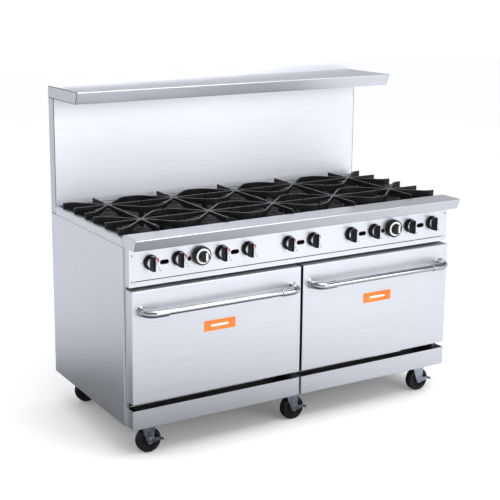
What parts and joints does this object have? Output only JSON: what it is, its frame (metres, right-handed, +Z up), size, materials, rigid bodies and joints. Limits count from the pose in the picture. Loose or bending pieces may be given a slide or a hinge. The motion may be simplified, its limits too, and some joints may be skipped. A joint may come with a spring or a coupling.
{
  "type": "commercial gas range",
  "caption": "Free-standing stainless restaurant range: open gas burners over two drop-door ovens, with a riser, an overhead shelf and swivel casters.",
  "frame": {"origin": "on the floor under the middle of the object's bounding box", "axes": "+X to the right of a cook who faces the front, +Y to the back, +Z up"},
  "size_m": [1.524, 0.844, 1.388],
  "materials": {
    "stainless": "brushed, semi-bright",
    "chassis": "satin black paint",
    "dark_frame": "heat-proof black",
    "enamel": "speckled porcelain enamel",
    "insulation": "mineral wool",
    "pipe_steel": "black steel pipe",
    "brass": "machined",
    "cast_iron": "black matt enamel on a sand casting",
    "burner_steel": "raw casting",
    "screws": "zinc-plated",
    "chrome": "polished",
    "rack_wire": "nickel plate",
    "orange_plate": "smooth paint",
    "knob_plastic": "satin phenolic",
    "zinc": "bright zinc plate",
    "tyre": "hard rubber"
  },
  "bodies": {
    "root": {"chassis_rails": "chassis", "chassis_posts": "chassis", "chassis_plates": "chassis", "side_panels": "stainless", "rear_panel": "stainless", "riser": "stainless", "overhead_shelf": "stainless", "front_ledge": "stainless", "side_rails": "stainless", "control_panel": "stainless", "kick_plates": "stainless", "oven_boxes": "enamel", "oven_insulation": "insulation", "oven_front_frame": "dark_frame", "supply_pipe": "pipe_steel", "gas_pipework": "pipe_steel", "gas_valves": "brass", "burner_heads": "cast_iron", "burner_tubes": "burner_steel", "fasteners": "screws", "grates": "cast_iron"},
    "door_left": {"door_left_skin": "stainless", "door_left_liner": "enamel", "door_left_handle": "chrome", "door_left_plate": "orange_plate"},
    "door_right": {"door_right_skin": "stainless", "door_right_liner": "enamel", "door_right_handle": "chrome", "door_right_plate": "orange_plate"},
    "crumb_tray_left": {"crumb_tray_left": "stainless"},
    "crumb_tray_right": {"crumb_tray_right": "stainless"},
    "oven_rack_left": {"oven_rack_left": "rack_wire"},
    "oven_rack_right": {"oven_rack_right": "rack_wire"},
    "knob_1": {"knob_1": "knob_plastic"},
    "knob_2": {"knob_2": "knob_plastic"},
    "knob_3": {"knob_3": "knob_plastic"},
    "knob_4": {"knob_4": "knob_plastic"},
    "knob_5": {"knob_5": "knob_plastic"},
    "knob_6": {"knob_6": "knob_plastic"},
    "knob_7": {"knob_7": "knob_plastic"},
    "knob_8": {"knob_8": "knob_plastic"},
    "knob_9": {"knob_9": "knob_plastic"},
    "knob_10": {"knob_10": "knob_plastic"},
    "thermostat_dial_left": {"thermostat_dial_left": "knob_plastic"},
    "thermostat_dial_right": {"thermostat_dial_right": "knob_plastic"},
    "caster_fork_1": {"caster_fork_1": "zinc"},
    "caster_wheel_1": {"caster_wheel_1": "tyre"},
    "caster_fork_2": {"caster_fork_2": "zinc"},
    "caster_wheel_2": {"caster_wheel_2": "tyre"},
    "caster_fork_3": {"caster_fork_3": "zinc"},
    "caster_wheel_3": {"caster_wheel_3": "tyre"},
    "caster_fork_4": {"caster_fork_4": "zinc"},
    "caster_wheel_4": {"caster_wheel_4": "tyre"},
    "caster_fork_5": {"caster_fork_5": "zinc"},
    "caster_wheel_5": {"caster_wheel_5": "tyre"},
    "caster_fork_6": {"caster_fork_6": "zinc"},
    "caster_wheel_6": {"caster_wheel_6": "tyre"},
    "brake_pedal_1": {"brake_pedal_1": "zinc"},
    "brake_pedal_2": {"brake_pedal_2": "zinc"},
    "brake_pedal_3": {"brake_pedal_3": "zinc"}
  },
  "joints": [
    {"name": "door_left_hinge", "type": "hinge", "parent": "root", "child": "door_left", "pos_m": [-0.3795, -0.334, 0.24], "axis": [1, 0, 0], "range_deg": [0, 90], "stiffness_Nm_per_rad": 14, "springref_deg": -28.65},
    {"name": "door_right_hinge", "type": "hinge", "parent": "root", "child": "door_right", "pos_m": [0.3795, -0.334, 0.24], "axis": [1, 0, 0], "range_deg": [0, 90], "stiffness_Nm_per_rad": 14, "springref_deg": -28.65},
    {"name": "crumb_tray_left_slide", "type": "slide", "parent": "root", "child": "crumb_tray_left", "axis": [0, -1, 0], "range_m": [0, 0.45]},
    {"name": "crumb_tray_right_slide", "type": "slide", "parent": "root", "child": "crumb_tray_right", "axis": [0, -1, 0], "range_m": [0, 0.45]},
    {"name": "oven_rack_left_slide", "type": "slide", "parent": "root", "child": "oven_rack_left", "axis": [0, -1, 0], "range_m": [0, 0.028]},
    {"name": "oven_rack_right_slide", "type": "slide", "parent": "root", "child": "oven_rack_right", "axis": [0, -1, 0], "range_m": [0, 0.028]},
    {"name": "knob_1_turn", "type": "hinge", "parent": "root", "child": "knob_1", "pos_m": [-0.6686, -0.348, 0.773], "axis": [0, -1, 0], "range_deg": [0, 180]},
    {"name": "knob_2_turn", "type": "hinge", "parent": "root", "child": "knob_2", "pos_m": [-0.5506, -0.348, 0.773], "axis": [0, -1, 0], "range_deg": [0, 180]},
    {"name": "knob_3_turn", "type": "hinge", "parent": "root", "child": "knob_3", "pos_m": [-0.3638, -0.348, 0.773], "axis": [0, -1, 0], "range_deg": [0, 180]},
    {"name": "knob_4_turn", "type": "hinge", "parent": "root", "child": "knob_4", "pos_m": [-0.2458, -0.348, 0.773], "axis": [0, -1, 0], "range_deg": [0, 180]},
    {"name": "knob_5_turn", "type": "hinge", "parent": "root", "child": "knob_5", "pos_m": [-0.059, -0.348, 0.773], "axis": [0, -1, 0], "range_deg": [0, 180]},
    {"name": "knob_6_turn", "type": "hinge", "parent": "root", "child": "knob_6", "pos_m": [0.059, -0.348, 0.773], "axis": [0, -1, 0], "range_deg": [0, 180]},
    {"name": "knob_7_turn", "type": "hinge", "parent": "root", "child": "knob_7", "pos_m": [0.2458, -0.348, 0.773], "axis": [0, -1, 0], "range_deg": [0, 180]},
    {"name": "knob_8_turn", "type": "hinge", "parent": "root", "child": "knob_8", "pos_m": [0.3638, -0.348, 0.773], "axis": [0, -1, 0], "range_deg": [0, 180]},
    {"name": "knob_9_turn", "type": "hinge", "parent": "root", "child": "knob_9", "pos_m": [0.5506, -0.348, 0.773], "axis": [0, -1, 0], "range_deg": [0, 180]},
    {"name": "knob_10_turn", "type": "hinge", "parent": "root", "child": "knob_10", "pos_m": [0.6686, -0.348, 0.773], "axis": [0, -1, 0], "range_deg": [0, 180]},
    {"name": "thermostat_dial_left_turn", "type": "hinge", "parent": "root", "child": "thermostat_dial_left", "pos_m": [-0.4572, -0.348, 0.773], "axis": [0, -1, 0], "range_deg": [0, 290]},
    {"name": "thermostat_dial_right_turn", "type": "hinge", "parent": "root", "child": "thermostat_dial_right", "pos_m": [0.4572, -0.348, 0.773], "axis": [0, -1, 0], "range_deg": [0, 290]},
    {"name": "caster_swivel_1", "type": "hinge", "parent": "root", "child": "caster_fork_1", "pos_m": [-0.665, -0.28, 0.126], "axis": [0, 0, 1], "continuous": true},
    {"name": "caster_roll_1", "type": "hinge", "parent": "caster_fork_1", "child": "caster_wheel_1", "pos_m": [-0.655, -0.28, 0.05], "axis": [0, 1, 0], "continuous": true},
    {"name": "caster_swivel_2", "type": "hinge", "parent": "root", "child": "caster_fork_2", "pos_m": [0, -0.28, 0.126], "axis": [0, 0, 1], "continuous": true},
    {"name": "caster_roll_2", "type": "hinge", "parent": "caster_fork_2", "child": "caster_wheel_2", "pos_m": [0.01, -0.28, 0.05], "axis": [0, 1, 0], "continuous": true},
    {"name": "caster_swivel_3", "type": "hinge", "parent": "root", "child": "caster_fork_3", "pos_m": [0.665, -0.28, 0.126], "axis": [0, 0, 1], "continuous": true},
    {"name": "caster_roll_3", "type": "hinge", "parent": "caster_fork_3", "child": "caster_wheel_3", "pos_m": [0.675, -0.28, 0.05], "axis": [0, 1, 0], "continuous": true},
    {"name": "caster_swivel_4", "type": "hinge", "parent": "root", "child": "caster_fork_4", "pos_m": [-0.665, 0.312, 0.126], "axis": [0, 0, 1], "continuous": true},
    {"name": "caster_roll_4", "type": "hinge", "parent": "caster_fork_4", "child": "caster_wheel_4", "pos_m": [-0.655, 0.312, 0.05], "axis": [0, 1, 0], "continuous": true},
    {"name": "caster_swivel_5", "type": "hinge", "parent": "root", "child": "caster_fork_5", "pos_m": [0, 0.312, 0.126], "axis": [0, 0, 1], "continuous": true},
    {"name": "caster_roll_5", "type": "hinge", "parent": "caster_fork_5", "child": "caster_wheel_5", "pos_m": [0.01, 0.312, 0.05], "axis": [0, 1, 0], "continuous": true},
    {"name": "caster_swivel_6", "type": "hinge", "parent": "root", "child": "caster_fork_6", "pos_m": [0.665, 0.312, 0.126], "axis": [0, 0, 1], "continuous": true},
    {"name": "caster_roll_6", "type": "hinge", "parent": "caster_fork_6", "child": "caster_wheel_6", "pos_m": [0.675, 0.312, 0.05], "axis": [0, 1, 0], "continuous": true},
    {"name": "brake_pedal_1_hinge", "type": "hinge", "parent": "caster_fork_1", "child": "brake_pedal_1", "pos_m": [-0.655, -0.28, 0.05], "axis": [0, 1, 0], "range_deg": [-15, 0]},
    {"name": "brake_pedal_2_hinge", "type": "hinge", "parent": "caster_fork_2", "child": "brake_pedal_2", "pos_m": [0.01, -0.28, 0.05], "axis": [0, 1, 0], "range_deg": [-15, 0]},
    {"name": "brake_pedal_3_hinge", "type": "hinge", "parent": "caster_fork_3", "child": "brake_pedal_3", "pos_m": [0.675, -0.28, 0.05], "axis": [0, 1, 0], "range_deg": [-15, 0]}
  ]
}
